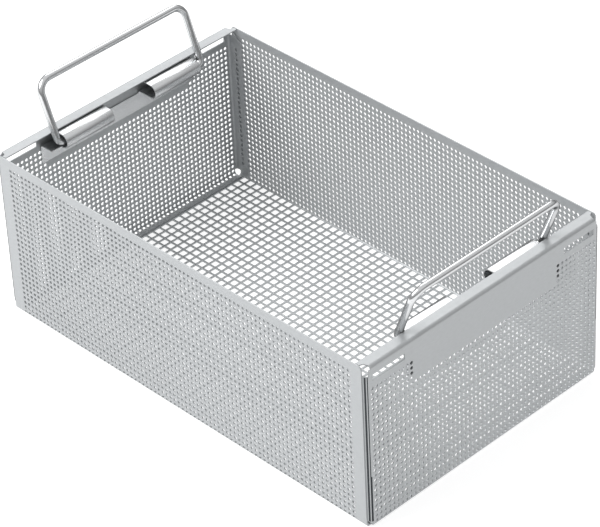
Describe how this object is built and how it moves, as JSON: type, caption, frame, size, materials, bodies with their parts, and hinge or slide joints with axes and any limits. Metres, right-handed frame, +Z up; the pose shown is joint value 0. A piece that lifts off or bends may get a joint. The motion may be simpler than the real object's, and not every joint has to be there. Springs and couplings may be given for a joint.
{
  "type": "autoclave basket",
  "caption": "Rectangular perforated sheet-steel sterilising basket with a square-mesh floor, folded rims and swinging wire bail handles at both ends.",
  "frame": {"origin": "middle of the underside of the floor", "axes": "+X along the length towards the right end wall, +Y across, +Z up"},
  "size_m": [0.4088, 0.25, 0.1916],
  "materials": {
    "sheet": "satin, fine grain",
    "bracket": "smooth bright satin",
    "wire": "polished"
  },
  "bodies": {
    "basket": {"trough": "sheet", "end_wall_left": "sheet", "end_wall_right": "sheet", "hinge_bracket_left": "bracket", "hinge_bracket_right": "bracket"},
    "left_handle": {"handle_left": "wire"},
    "right_handle": {"handle_right": "wire"}
  },
  "joints": [
    {"name": "left_handle_swing", "type": "hinge", "parent": "basket", "child": "left_handle", "pos_m": [-0.183, 0, 0.14], "axis": [0, 1, 0], "range_deg": [0, 183]},
    {"name": "right_handle_swing", "type": "hinge", "parent": "basket", "child": "right_handle", "pos_m": [0.183, 0, 0.14], "axis": [0, -1, 0], "range_deg": [0, 183]}
  ]
}
